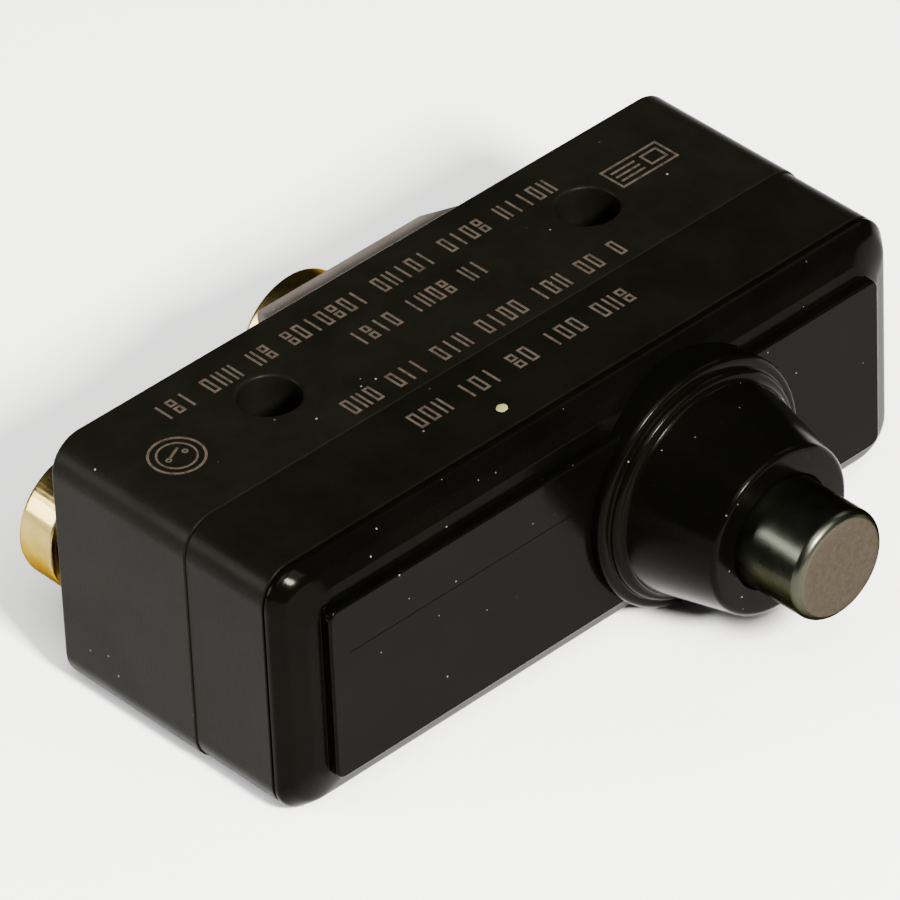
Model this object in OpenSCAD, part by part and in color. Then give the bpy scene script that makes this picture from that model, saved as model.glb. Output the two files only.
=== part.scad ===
// Large snap-action limit switch with an overtravel plunger, lying on its wide side.
// X runs along the switch, -Y is the way the plunger points, +Z is up out of the wide face.
// The origin is midway between the two mounting holes, on the wide face that it rests on.

/* [Case] */
// Length of the case along X
case_l = 49.2; // [46:0.1:62]
// Thickness of the case along Z
case_t = 17.4; // [14.5:0.1:22]
// Depth of the terminal base along Y
base_d = 11.3; // [10.5:0.1:15]
// Depth of the contact case along Y
mid_d = 6.4; // [6.4:0.1:9]
// Radius of the four long corners
corner_r = 2.2; // [1:0.1:3]
// Step from the terminal base down to the contact case
mid_step = 0.08; // [0.02:0.01:0.2]
// Wall around the contact chamber, on the wide faces
wall = 1.7; // [1.4:0.1:2.4]
// Thickness of the front wall of the contact case
guide_wall = 1.2; // [1:0.1:1.6]

/* [Mounting holes] */
// Distance between the two mounting holes
hole_pitch = 25.4; // [24:0.1:27]
// Diameter of the mounting holes
hole_d = 3.8; // [3.4:0.1:4.6]
// Countersink around each mounting hole
hole_edge = 0.15; // [0.05:0.05:0.3]

/* [Front cover] */
// Straight lip of the cover, in front of the parting line
lip_d = 0.5; // [0.3:0.1:1]
// Depth of the bevel between the lip and the ledge
bevel_d = 1.45; // [1.2:0.05:2]
// How far the bevel leans in from the outside
bevel_in = 1.7; // [1.2:0.1:2.2]
// Width of the flat ledge around the raised panel
ledge_w = 0.9; // [0.5:0.1:1.5]
// Height of the raised panel above the ledge
panel_h = 0.8; // [0.4:0.1:1.2]
// Corner radius of the raised panel
panel_r = 0.6; // [0.3:0.1:1]

/* [Boss] */
// Place of the plunger axis along X
boss_x = 6.35; // [4:0.05:9]
// Diameter of the boss flange
flange_d = 16.2; // [15:0.1:16.6]
// Height of the flange above the raised panel
flange_h = 0.8; // [0.5:0.1:1.5]
// Diameter of the ring above the flange
ring_d = 14.8; // [14:0.1:15.4]
// Height of the ring above the flange
ring_h = 0.5; // [0.3:0.1:1]
// Diameter of the cone where it leaves the ring
cone_d = 13.6; // [12.8:0.1:14]
// Width of the boss's end face around the plunger
boss_rim_w = 1.95; // [1.7:0.05:2.2]
// Thickness of the wall at the outer end of the boss
boss_wall = 1.5; // [1.2:0.1:2]

/* [Plunger] */
// Diameter of the steel plunger
plunger_d = 7.1; // [6:0.1:8.6]
// Travel of the plunger, which the boss is made long enough for
plunger_travel = 4.5; // [3.5:0.1:5.5]
// How far the plunger still stands out of the boss when it is pressed home
plunger_left = 0.35; // [0.2:0.05:2]
// Radius of the plunger's outer edge
plunger_edge = 0.6; // [0.3:0.1:1]
// Radial running clearance of the plunger in the boss
plunger_fit = 0.05; // [0.02:0.01:0.1]
// Thickness of the plunger's outer end
plunger_end = 1.9; // [1.2:0.1:2.4]
// Thickness of the plunger's wall
plunger_wall = 0.9; // [0.7:0.1:1.1]

/* [Inner pin] */
// Diameter of the inner pin
pin_d = 2.4; // [2:0.1:3]
// Radial running clearance of the pin in the case
pin_fit = 0.05; // [0.02:0.01:0.1]
// Thickness of the pin's head
pin_head_h = 0.9; // [0.6:0.1:1.2]
// Travel of the pin before its head meets the case
pin_room = 0.75; // [0.6:0.05:1]

/* [Contacts] */
// Gap between the moving contact and the open contact
contact_gap = 1; // [0.6:0.1:1.2]
// Diameter of the contact rivets
contact_d = 3.2; // [2.6:0.1:3.6]
// Thickness of each fixed contact
contact_h = 0.6; // [0.4:0.1:0.8]
// Thickness of the moving contact, both faces
moving_h = 1.5; // [1.3:0.1:1.8]
// Distance from the closed terminal's leg to the contacts
contact_in = 4.2; // [3.8:0.1:5]
// Distance from the common terminal's leg to the blade's knife edge
pivot_in = 4; // [3.7:0.1:5]
// Thickness of the snap blade
blade_t = 0.25; // [0.2:0.05:0.4]
// Width of the snap blade
blade_w = 5.4; // [4.6:0.1:6]

/* [Terminals] */
// Distance of the end screws from the ends of the case
terminal_in = 4.1; // [4:0.05:4.4]
// Thickness of the terminal strip
strip_t = 1; // [0.8:0.1:1.2]
// Width of the terminal legs
leg_w = 5; // [4:0.1:5.4]
// Width of the terminal pads
pad_w = 7.2; // [6.8:0.1:7.4]
// Height of the centre insulator above the rear face
platform_h = 2.3; // [1.5:0.1:3]
// Length of the centre insulator at its top
platform_l = 13; // [12.6:0.1:13.6]
// How far the insulator's left end leans out
platform_lean = 0.5; // [0.2:0.1:1]
// Length of the ramp at the insulator's right end
platform_ramp = 6; // [4:0.1:6.6]
// Inset of the insulator from the wide faces
platform_in = 1.4; // [1:0.1:2]

/* [Screws] */
// Diameter of the terminal screws' thread
screw_d = 4; // [3.3:0.1:4.8]
// Diameter of the terminal screws' head
head_d = 8.3; // [6.9:0.1:9.8]
// Height of the terminal screws' head
head_h = 3.4; // [2.4:0.1:3.8]
// Length of the terminal screws below the head
screw_l = 7; // [6:0.1:8]
// How far the centre screw is backed out
back_out = 0.2; // [0:0.1:3]
// Distance of the case screws from the case's ends and wide faces
case_screw_in = 3; // [2.9:0.05:3.1]
// Diameter of the case screws
case_screw_d = 1.9; // [1.6:0.1:2]

/* [Hidden] */
$fn = 96;
eps = 0.01;

// Fits and small clearances
slip = 0.06;
thread_fit = 0.02;
slide_fit = 0.1;
strip_fit = 0.08;

// Planes along Y, from the terminals to the raised panel
rear_y = base_d / 2;
split_y = rear_y - base_d;
front_y = split_y - mid_d;
lip_y = front_y - lip_d;
ledge_y = lip_y - bevel_d;
panel_y = ledge_y - panel_h;
flange_y = panel_y - flange_h;
ring_y = flange_y - ring_h;
mid_z = case_t / 2;
half_l = case_l / 2;

// Inner pin: its head waits in front of the case wall
head_rear = front_y - pin_room;
head_front = head_rear - pin_head_h;
pin_edge = 0.4;
seat_t = 0.4;

// Boss and plunger, from the pin's head out to the tip
plunger_room = 1;
collar_l = 0.7;
ring_t = 0.6;
ring_gap = 0.1;
groove_d = 0.4;
collar_y = head_front - plunger_room - plunger_travel;
ring_rear = collar_y - collar_l;
ring_front = ring_rear - ring_t;
cavity_y = ring_front - ring_gap;
boss_y = cavity_y - boss_wall;
tip_y = boss_y - plunger_travel - plunger_left;
hollow_y = tip_y + plunger_end;
boss_end_r = plunger_d / 2 + boss_rim_w;
cavity_room = 1.25;
cavity_r = plunger_d / 2 + cavity_room;
ring_slack = 0.25;
ring_out_r = cavity_r - ring_slack;
hollow_r = plunger_d / 2 - plunger_wall;
head_slack = 0.3;
head_r = hollow_r - head_slack;

// Springs
spring_slack = 0.25;
inner_wire = 0.5;
inner_turns = 7;
outer_wire = 0.36;
outer_turns = 4;

// Case screws
screw_post = 1.15;
cover_skin = 0.5;
case_screw_end = ledge_y + cover_skin;
case_screw_head_r = 1.5;
case_screw_head_h = 1;
case_screw_sink = 1.2;

// Contact chamber
chamber_front = front_y + guide_wall;
base_recess = 2.05;
recess_y = split_y + base_recess;
chamber_x = half_l - case_screw_in - case_screw_d / 2 - screw_post;

// Terminal strips and screws
terminal_x = half_l - terminal_in;
leg_in = terminal_x - pad_w / 2 + strip_t / 2;
pad_sink = 0.9;
pad_y = rear_y - pad_sink;
platform_y = rear_y + platform_h;
open_leg_x = -5.5;
washer_t = 0.5;
washer_in = 0.1;
screw_room = 0.4;

// Heights of the contact parts along Y, from the chamber's front wall
arm_t = 0.8;
arm_gap = 0.25;
arm_past = 2;
rivet_r = 0.8;
contact_x = leg_in - contact_in;
closed_face = chamber_front + arm_gap + arm_t + contact_h;
blade_y = closed_face + (moving_h - blade_t) / 2;
open_face = closed_face + moving_h + contact_gap;
pin_tip = blade_y - slip;

// Blade, and the anchor whose notch holds its knife edge
pivot_x = leg_in - pivot_in;
anchor_t = 0.6;
anchor_lip = 0.4;
rivet_in = 1.9;
rivet_head_r = 1.2;
rivet_head_h = 0.35;
rivet_x = pivot_x + rivet_in;
foot_y = blade_y + blade_t + anchor_t;
blade_past = 0.6;
blade_bridge = 1.6;
blade_cut = 0.35;

// A shape drawn in X and Z, from y0 to y1
module along_y(y0, y1) {
    translate([0, y1, 0])
        rotate([90, 0, 0])
            linear_extrude(y1 - y0)
                children();
}

// A shape turned about an axis along Y, drawn as radius and depth towards the plunger's tip
module turned(x) {
    translate([x, 0, mid_z])
        rotate([90, 0, 0])
            rotate_extrude()
                children();
}

module rod(x, z, y0, y1, r) {
    translate([x, y1, z])
        rotate([90, 0, 0])
            cylinder(h = y1 - y0, r = r);
}

module block(x0, x1, y0, y1, z0, z1) {
    translate([x0, y0, z0])
        cube([x1 - x0, y1 - y0, z1 - z0]);
}

// A rectangle with true round corners
module round_rect(x0, x1, z0, z1, r) {
    translate([x0 + r, z0])
        square([x1 - x0 - 2 * r, z1 - z0]);
    translate([x0, z0 + r])
        square([x1 - x0, z1 - z0 - 2 * r]);
    for (x = [x0 + r, x1 - r], z = [z0 + r, z1 - r])
        translate([x, z])
            circle(r = r);
}

module case_outline(inset) {
    round_rect(-half_l + inset, half_l - inset, inset, case_t - inset, corner_r);
}

// Places of the four case screws
module at_case_screws() {
    for (x = [-1, 1], z = [case_screw_in, case_t - case_screw_in])
        translate([x * (half_l - case_screw_in), 0, z])
            children();
}

module case_screw_holes(y0, y1, r) {
    at_case_screws()
        rod(0, 0, y0, y1, r);
}

// Places of the two mounting holes
module at_mounting_holes() {
    for (side = [-1, 1])
        translate([side * hole_pitch / 2, 0, 0])
            children();
}

module mounting_hole() {
    edge_r = hole_d / 2 + hole_edge;
    translate([0, 0, -eps])
        cylinder(h = case_t + 2 * eps, r = hole_d / 2);
    translate([0, 0, case_t - hole_edge])
        cylinder(h = hole_edge + eps, r1 = hole_d / 2, r2 = edge_r);
    translate([0, 0, -eps])
        cylinder(h = hole_edge + eps, r1 = edge_r, r2 = hole_d / 2);
}

// Room for the contact parts, between y0 and y1
module chamber(y0, y1) {
    block(-chamber_x, chamber_x, y0, y1, wall, case_t - wall);
}

// Slot in the base for a terminal leg centred on x
module leg_slot(x) {
    half_w = leg_w / 2 + strip_fit;
    block(x - strip_t / 2 - strip_fit, x + strip_t / 2 + strip_fit,
        recess_y - eps, platform_y, mid_z - half_w, mid_z + half_w);
}

// Hole for a terminal screw that bears on the plane y, with room past its end
module screw_hole(x, y) {
    rod(x, mid_z, y - screw_l - screw_room, y, screw_d / 2 + slide_fit);
}

module terminal_base() {
    pad_half = pad_w / 2 + strip_fit;
    color([0.09, 0.085, 0.07])
        difference() {
            along_y(split_y, rear_y)
                case_outline(0);
            at_mounting_holes()
                mounting_hole();
            chamber(split_y - eps, recess_y);
            for (side = [-1, 1]) {
                block(side * terminal_x - pad_half, side * terminal_x + pad_half,
                    pad_y, rear_y + eps, mid_z - pad_half, mid_z + pad_half);
                leg_slot(side * leg_in);
                screw_hole(side * terminal_x, pad_y + strip_t + washer_t);
            }
            leg_slot(open_leg_x);
            screw_hole(0, platform_y + strip_t + washer_t);
            case_screw_holes(split_y - eps, rear_y, case_screw_d / 2 + slide_fit);
            case_screw_holes(rear_y - case_screw_sink, rear_y + eps, case_screw_head_r + slide_fit);
        }
}

module contact_case() {
    guide_r = pin_d / 2 + pin_fit;
    color([0.1, 0.095, 0.08])
        difference() {
            along_y(front_y, split_y)
                case_outline(mid_step);
            chamber(chamber_front, split_y + eps);
            rod(boss_x, mid_z, front_y - eps, chamber_front + eps, guide_r);
            case_screw_holes(front_y - eps, split_y + eps, case_screw_d / 2 + slide_fit);
        }
}

// The bevelled block of the cover, behind its ledge
module cover_block() {
    half = half_l - mid_step;
    intersection() {
        along_y(ledge_y, front_y)
            case_outline(mid_step);
        linear_extrude(case_t)
            polygon([[-half, front_y], [-half, lip_y], [-half + bevel_in, ledge_y],
                [half - bevel_in, ledge_y], [half, lip_y], [half, front_y]]);
        translate([-half_l, 0, 0])
            rotate([90, 0, 90])
                linear_extrude(case_l)
                    polygon([[front_y, mid_step], [lip_y, mid_step], [ledge_y, mid_step + bevel_in],
                        [ledge_y, case_t - mid_step - bevel_in], [lip_y, case_t - mid_step],
                        [front_y, case_t - mid_step]]);
    }
}

// Half section of the boss: flange, ring and cone, each with a rounded edge
module boss_section() {
    edge = 0.3;
    rim = 0.4;
    base = -front_y;
    square_at(base, -flange_y - edge, flange_d / 2);
    square_at(base, -flange_y, flange_d / 2 - edge);
    translate([flange_d / 2 - edge, -flange_y - edge])
        circle(r = edge);
    square_at(base, -ring_y - edge, ring_d / 2);
    square_at(base, -ring_y, ring_d / 2 - edge);
    translate([ring_d / 2 - edge, -ring_y - edge])
        circle(r = edge);
    polygon([[0, base], [cone_d / 2, base], [cone_d / 2, -ring_y], [boss_end_r, -boss_y - rim],
        [boss_end_r - rim, -boss_y], [0, -boss_y]]);
    translate([boss_end_r - rim, -boss_y - rim])
        circle(r = rim);
}

module square_at(y0, y1, r) {
    translate([0, y0])
        square([r, y1 - y0]);
}

module front_cover() {
    panel_in = mid_step + bevel_in + ledge_w;
    color([0.06, 0.055, 0.045])
        difference() {
            union() {
                cover_block();
                along_y(panel_y, ledge_y + eps)
                    round_rect(-half_l + panel_in, half_l - panel_in, panel_in, case_t - panel_in, panel_r);
                turned(boss_x)
                    intersection() {
                        boss_section();
                        square([case_l, case_l]);
                    }
            }
            rod(boss_x, mid_z, cavity_y, front_y + eps, cavity_r);
            rod(boss_x, mid_z, boss_y - eps, cavity_y + eps, plunger_d / 2 + plunger_fit);
            case_screw_holes(case_screw_end - slide_fit, front_y + eps, case_screw_d / 2 + thread_fit);
        }
}

module centre_insulator() {
    top = platform_l / 2;
    left_foot = top + platform_lean;
    right_foot = top + platform_ramp;
    color([0.45, 0.42, 0.38])
        difference() {
            translate([0, 0, platform_in])
                linear_extrude(case_t - 2 * platform_in)
                    polygon([
                        [-left_foot, rear_y], [right_foot, rear_y],
                        [top, platform_y], [-top, platform_y]
                    ]);
            leg_slot(open_leg_x);
            screw_hole(0, platform_y + strip_t + washer_t);
        }
}

// A pad with its tapped hole, and the leg that leaves its inner edge
module strip_terminal(x, leg_x, y, leg_end) {
    pad_start = min(x - pad_w / 2, leg_x - strip_t / 2);
    pad_stop = max(x + pad_w / 2, leg_x + strip_t / 2);
    difference() {
        union() {
            block(pad_start, pad_stop, y, y + strip_t, mid_z - pad_w / 2, mid_z + pad_w / 2);
            block(leg_x - strip_t / 2, leg_x + strip_t / 2, leg_end, y + eps,
                mid_z - leg_w / 2, mid_z + leg_w / 2);
        }
        rod(x, mid_z, y - eps, y + strip_t + eps, screw_d / 2 + thread_fit);
    }
}

// The arm inside the chamber, with the hole that a contact or the anchor is riveted in
module strip_arm(x0, x1, y, hole_x) {
    difference() {
        block(x0, x1, y, y + arm_t, mid_z - leg_w / 2, mid_z + leg_w / 2);
        rod(hole_x, mid_z, y - eps, y + arm_t + eps, rivet_r);
    }
}

module common_terminal() {
    color([0.72, 0.55, 0.28]) {
        strip_terminal(terminal_x, leg_in, pad_y, foot_y);
        strip_arm(pivot_x + anchor_lip, leg_in + strip_t / 2, foot_y, rivet_x);
    }
}

module open_terminal() {
    arm_y = open_face + contact_h;
    color([0.72, 0.55, 0.28]) {
        strip_terminal(0, open_leg_x, platform_y, arm_y);
        strip_arm(-contact_x - arm_past, open_leg_x + strip_t / 2, arm_y, -contact_x);
    }
}

module closed_terminal() {
    arm_y = closed_face - contact_h - arm_t;
    color([0.72, 0.55, 0.28]) {
        strip_terminal(-terminal_x, -leg_in, pad_y, arm_y);
        strip_arm(-leg_in - strip_t / 2, -contact_x + arm_past, arm_y, -contact_x);
    }
}

// A domed, slotted screw whose head bears on the plane y
module terminal_screw(x, y) {
    dome_h = 0.6;
    rim_h = head_h - dome_h;
    dome_r = (head_d * head_d / 4 + dome_h * dome_h) / (2 * dome_h);
    slot_w = 1.1;
    slot_d = 1;
    color([0.86, 0.7, 0.36])
        difference() {
            union() {
                rod(x, mid_z, y - screw_l, y + eps, screw_d / 2);
                rod(x, mid_z, y, y + rim_h, head_d / 2);
                translate([x, y + rim_h, mid_z])
                    rotate([-90, 0, 0])
                        rotate_extrude()
                            intersection() {
                                translate([0, dome_h - dome_r])
                                    circle(r = dome_r);
                                square([head_d / 2, dome_h]);
                            }
            }
            block(x - head_d, x + head_d, y + head_h - slot_d, y + head_h + eps,
                mid_z - slot_w / 2, mid_z + slot_w / 2);
        }
}

module common_screw() {
    terminal_screw(terminal_x, pad_y + strip_t + washer_t);
}

module closed_screw() {
    terminal_screw(-terminal_x, pad_y + strip_t + washer_t);
}

module open_screw() {
    terminal_screw(0, platform_y + strip_t + washer_t + back_out);
}

// A cup washer that keeps the wire under the screw head
module cup_washer(x, y) {
    inner = screw_d / 2 + slide_fit;
    outer = pad_w / 2 - washer_in;
    color([0.8, 0.64, 0.33])
        difference() {
            rod(x, mid_z, y, y + washer_t, outer);
            rod(x, mid_z, y - eps, y + washer_t + eps, inner);
        }
}

module common_washer() {
    cup_washer(terminal_x, pad_y + strip_t);
}

module closed_washer() {
    cup_washer(-terminal_x, pad_y + strip_t);
}

module open_washer() {
    cup_washer(0, platform_y + strip_t);
}

module case_screws() {
    bottom = rear_y - case_screw_sink;
    slot_w = 0.5;
    slot_d = 0.45;
    color([0.6, 0.6, 0.58])
        at_case_screws()
            difference() {
                union() {
                    rod(0, 0, case_screw_end, bottom + eps, case_screw_d / 2);
                    rod(0, 0, bottom, bottom + case_screw_head_h, case_screw_head_r);
                }
                block(-case_screw_head_r - eps, case_screw_head_r + eps,
                    bottom + case_screw_head_h - slot_d, bottom + case_screw_head_h + eps,
                    -slot_w / 2, slot_w / 2);
            }
}

// Bracket on the common terminal, with the notch that the blade rocks in
module blade_anchor() {
    front = blade_y - anchor_t;
    notch = blade_t / 2 + slide_fit;
    edge_y = blade_y + blade_t / 2;
    color([0.66, 0.5, 0.26])
        difference() {
            block(pivot_x - anchor_lip, rivet_x + rivet_head_r, front, foot_y,
                mid_z - blade_w / 2, mid_z + blade_w / 2);
            block(pivot_x - anchor_lip - eps, pivot_x + notch, edge_y - notch, edge_y + notch,
                mid_z - blade_w, mid_z + blade_w);
            rod(rivet_x, mid_z, front - eps, foot_y + eps, rivet_r);
        }
}

module anchor_rivet() {
    front = blade_y - anchor_t;
    back = foot_y + arm_t;
    color([0.75, 0.7, 0.6]) {
        rod(rivet_x, mid_z, front - eps, back + eps, rivet_r);
        rod(rivet_x, mid_z, front - rivet_head_h, front, rivet_head_r);
        rod(rivet_x, mid_z, back, back + rivet_head_h, rivet_head_r);
    }
}

module open_contact() {
    color([0.82, 0.82, 0.8]) {
        rod(-contact_x, mid_z, open_face, open_face + contact_h, contact_d / 2);
        rod(-contact_x, mid_z, open_face + contact_h - eps, open_face + contact_h + arm_t, rivet_r);
    }
}

module closed_contact() {
    color([0.82, 0.82, 0.8]) {
        rod(-contact_x, mid_z, closed_face - contact_h, closed_face, contact_d / 2);
        rod(-contact_x, mid_z, closed_face - contact_h - arm_t, closed_face - contact_h + eps, rivet_r);
    }
}

// Three-legged blade: the middle leg takes the pin, the outer legs carry the contact
module snap_blade() {
    tip = -contact_x - contact_d / 2 - blade_past;
    slot_start = -contact_x + contact_d / 2 + blade_bridge;
    leg = blade_w / 3;
    color([0.8, 0.62, 0.35])
        difference() {
            union() {
                block(tip, pivot_x, blade_y, blade_y + blade_t,
                    mid_z - blade_w / 2, mid_z + blade_w / 2);
                translate([pivot_x, blade_y + blade_t / 2, mid_z - blade_w / 2])
                    cylinder(h = blade_w, r = blade_t / 2);
            }
            for (side = [-1, 1])
                block(slot_start, pivot_x - blade_bridge, blade_y - eps, blade_y + blade_t + eps,
                    mid_z + (side * leg - blade_cut) / 2, mid_z + (side * leg + blade_cut) / 2);
            rod(-contact_x, mid_z, blade_y - eps, blade_y + blade_t + eps, rivet_r);
        }
}

module moving_contact() {
    color([0.82, 0.82, 0.8]) {
        rod(-contact_x, mid_z, closed_face, blade_y, contact_d / 2);
        rod(-contact_x, mid_z, blade_y + blade_t, closed_face + moving_h, contact_d / 2);
        rod(-contact_x, mid_z, blade_y - eps, blade_y + blade_t + eps, rivet_r);
    }
}

module steel_plunger() {
    outer = plunger_d / 2;
    color([0.62, 0.6, 0.57])
        difference() {
            turned(boss_x) {
                square_at(-collar_y, -tip_y - plunger_edge, outer);
                square_at(-collar_y, -tip_y, outer - plunger_edge);
                translate([outer - plunger_edge, -tip_y - plunger_edge])
                    circle(r = plunger_edge);
            }
            rod(boss_x, mid_z, hollow_y, collar_y + eps, hollow_r);
            difference() {
                rod(boss_x, mid_z, ring_front - thread_fit, ring_rear + thread_fit, outer + eps);
                rod(boss_x, mid_z, ring_front - ring_t, ring_rear + ring_t, outer - groove_d);
            }
        }
}

module retaining_ring() {
    mouth = 2.2;
    color([0.5, 0.5, 0.5])
        difference() {
            rod(boss_x, mid_z, ring_front, ring_rear, ring_out_r);
            rod(boss_x, mid_z, ring_front - eps, ring_rear + eps, plunger_d / 2 - groove_d + thread_fit);
            block(boss_x - mouth / 2, boss_x + mouth / 2, ring_front - eps, ring_rear + eps,
                mid_z - ring_out_r - eps, mid_z);
        }
}

// Round wire wound about the plunger axis, from y0 to y1, with closed ends
module spring(y0, y1, mean_r, wire, turns) {
    sides = 8;
    steps = 20;
    count = turns * steps;
    lift = wire / 2 + eps;
    points = [for (i = [0 : count], k = [0 : sides - 1])
        let (turn = 360 * i / steps, around = 360 * k / sides,
            r = mean_r + wire / 2 * cos(around),
            y = y0 + lift + (y1 - y0 - 2 * lift) * i / count + wire / 2 * sin(around))
        [boss_x + r * cos(turn), y, mid_z + r * sin(turn)]];
    faces = concat(
        [[for (k = [0 : sides - 1]) k]],
        [for (i = [0 : count - 1], k = [0 : sides - 1])
            let (here = i * sides, next = here + sides, around = (k + 1) % sides)
                [here + k, next + k, next + around, here + around]],
        [[for (k = [sides - 1 : -1 : 0]) count * sides + k]]);
    polyhedron(points, faces, 4);
}

module return_spring() {
    color([0.7, 0.7, 0.68])
        spring(ring_rear, front_y, (plunger_d / 2 + ring_out_r) / 2, outer_wire, outer_turns);
}

module overtravel_spring() {
    color([0.7, 0.7, 0.68])
        spring(hollow_y, head_front - seat_t, hollow_r - spring_slack - inner_wire / 2,
            inner_wire, inner_turns);
}

module inner_pin() {
    color([0.35, 0.16, 0.1]) {
        rod(boss_x, mid_z, head_front, head_rear, head_r);
        rod(boss_x, mid_z, head_rear - eps, pin_tip - pin_edge, pin_d / 2);
        translate([boss_x, pin_tip - pin_edge - eps, mid_z])
            rotate([-90, 0, 0])
                cylinder(h = pin_edge + eps, r1 = pin_d / 2, r2 = pin_d / 2 - pin_edge);
    }
}

module spring_seat() {
    color([0.65, 0.65, 0.63])
        rod(boss_x, mid_z, head_front - seat_t, head_front, head_r);
}

terminal_base();
contact_case();
front_cover();
centre_insulator();
common_terminal();
open_terminal();
closed_terminal();
common_screw();
open_screw();
closed_screw();
common_washer();
open_washer();
closed_washer();
case_screws();
blade_anchor();
anchor_rivet();
open_contact();
closed_contact();
snap_blade();
moving_contact();
steel_plunger();
retaining_ring();
return_spring();
overtravel_spring();
inner_pin();
spring_seat();
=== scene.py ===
import math
import random

import bmesh
import bpy
from mathutils import Matrix, Vector


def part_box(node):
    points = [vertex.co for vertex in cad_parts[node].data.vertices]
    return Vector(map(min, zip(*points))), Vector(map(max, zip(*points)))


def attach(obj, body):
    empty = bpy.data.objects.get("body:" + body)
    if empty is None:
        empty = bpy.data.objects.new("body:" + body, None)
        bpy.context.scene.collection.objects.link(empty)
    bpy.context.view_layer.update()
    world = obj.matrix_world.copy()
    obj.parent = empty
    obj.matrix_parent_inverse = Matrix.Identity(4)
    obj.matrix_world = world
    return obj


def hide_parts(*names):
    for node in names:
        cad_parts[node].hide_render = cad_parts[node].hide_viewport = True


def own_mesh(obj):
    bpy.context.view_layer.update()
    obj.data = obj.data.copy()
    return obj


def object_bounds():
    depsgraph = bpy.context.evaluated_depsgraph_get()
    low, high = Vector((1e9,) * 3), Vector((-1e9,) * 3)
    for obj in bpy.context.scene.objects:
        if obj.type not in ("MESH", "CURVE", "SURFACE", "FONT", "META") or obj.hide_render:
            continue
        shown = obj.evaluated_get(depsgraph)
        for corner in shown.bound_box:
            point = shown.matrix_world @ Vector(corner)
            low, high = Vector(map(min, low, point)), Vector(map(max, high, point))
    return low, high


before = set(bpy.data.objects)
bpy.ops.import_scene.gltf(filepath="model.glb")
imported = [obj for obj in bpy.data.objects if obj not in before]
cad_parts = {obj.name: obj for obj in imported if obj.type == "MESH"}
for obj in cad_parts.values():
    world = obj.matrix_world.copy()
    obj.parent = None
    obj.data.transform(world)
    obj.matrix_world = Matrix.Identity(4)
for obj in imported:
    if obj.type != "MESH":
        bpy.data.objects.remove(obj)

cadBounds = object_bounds()
mm = 0.001
scene = bpy.context.scene

# places that every piece is worked out from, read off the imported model
baseLow, baseHigh = (Vector(v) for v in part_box("terminal_base"))
caseLow, caseHigh = (Vector(v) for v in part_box("contact_case"))
coverLow, coverHigh = (Vector(v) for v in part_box("front_cover"))
plungerLow, plungerHigh = (Vector(v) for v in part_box("steel_plunger"))
blockLow, blockHigh = (Vector(v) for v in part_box("centre_insulator"))
boundsLow, boundsHigh = (Vector(v) for v in cadBounds)

rearY = baseHigh.y
splitY = baseLow.y
frontY = caseLow.y
bossY = coverLow.y
tipY = plungerLow.y
topZ = baseHigh.z
midZ = topZ / 2
halfLength = baseHigh.x
bossX = (plungerLow.x + plungerHigh.x) / 2
print("frame read: case", round(halfLength * 2000, 2), "x", round(topZ * 1000, 2), "mm")


# camera: degrees around the part, aimed at a point measured from the origin

cameraLook = dict(
    azimuth=-41.99,
    elevation=37.55,
    roll=-2.56,
    distance=0.5184,
    focal=357.5,
    aim=Vector((-2.72, -4.132, 10.08)) * mm,
)


def outward(look):  # unit vector from the part toward a camera or a light
    turn = math.radians(look["azimuth"])
    rise = math.radians(look["elevation"])
    return Vector((math.sin(turn) * math.cos(rise), -math.cos(turn) * math.cos(rise), math.sin(rise)))


def placeCamera(look):
    back = outward(look)
    right = Vector((0, 0, 1)).cross(back).normalized()
    up = back.cross(right)
    turn = Matrix((right, up, back)).transposed().to_4x4()
    roll = Matrix.Rotation(math.radians(look["roll"]), 4, "Z")
    data = bpy.data.cameras.new("studioCamera")
    data.lens = look["focal"]
    data.sensor_width = 36
    data.clip_start = 0.01
    data.clip_end = 20
    camera = bpy.data.objects.new("studioCamera", data)
    scene.collection.objects.link(camera)
    camera.matrix_world = Matrix.Translation(look["aim"] + back * look["distance"]) @ turn @ roll
    scene.camera = camera


placeCamera(cameraLook)
print("camera placed")


# helpers that add shader nodes

def newMaterial(name):
    material = bpy.data.materials.new(name)
    material.use_nodes = True
    tree = material.node_tree
    tree.nodes.clear()
    shader = tree.nodes.new("ShaderNodeBsdfPrincipled")
    output = tree.nodes.new("ShaderNodeOutputMaterial")
    tree.links.new(shader.outputs[0], output.inputs[0])
    return material, tree, shader


def objectCoords(tree, scale=(1, 1, 1), shift=(0, 0, 0)):
    coords = tree.nodes.new("ShaderNodeTexCoord")
    mapping = tree.nodes.new("ShaderNodeMapping")
    mapping.inputs["Location"].default_value = shift
    mapping.inputs["Scale"].default_value = scale
    tree.links.new(coords.outputs["Object"], mapping.inputs["Vector"])
    return mapping.outputs["Vector"]


def noise(tree, vector, scale, detail=4, roughness=0.55, distortion=0):
    node = tree.nodes.new("ShaderNodeTexNoise")
    node.inputs["Scale"].default_value = scale
    node.inputs["Detail"].default_value = detail
    node.inputs["Roughness"].default_value = roughness
    node.inputs["Distortion"].default_value = distortion
    tree.links.new(vector, node.inputs["Vector"])
    return node.outputs[0]


def cells(tree, vector, scale):
    node = tree.nodes.new("ShaderNodeTexVoronoi")
    node.inputs["Scale"].default_value = scale
    tree.links.new(vector, node.inputs["Vector"])
    return node.outputs["Distance"]


def ramp(tree, value, stops):
    node = tree.nodes.new("ShaderNodeValToRGB")
    ladder = node.color_ramp
    while len(ladder.elements) < len(stops):
        ladder.elements.new(0.5)
    for element, (place, colour) in zip(ladder.elements, stops):
        element.position = place
        element.color = (*colour, 1) if len(colour) == 3 else colour
    tree.links.new(value, node.inputs[0])
    return node.outputs[0]


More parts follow.
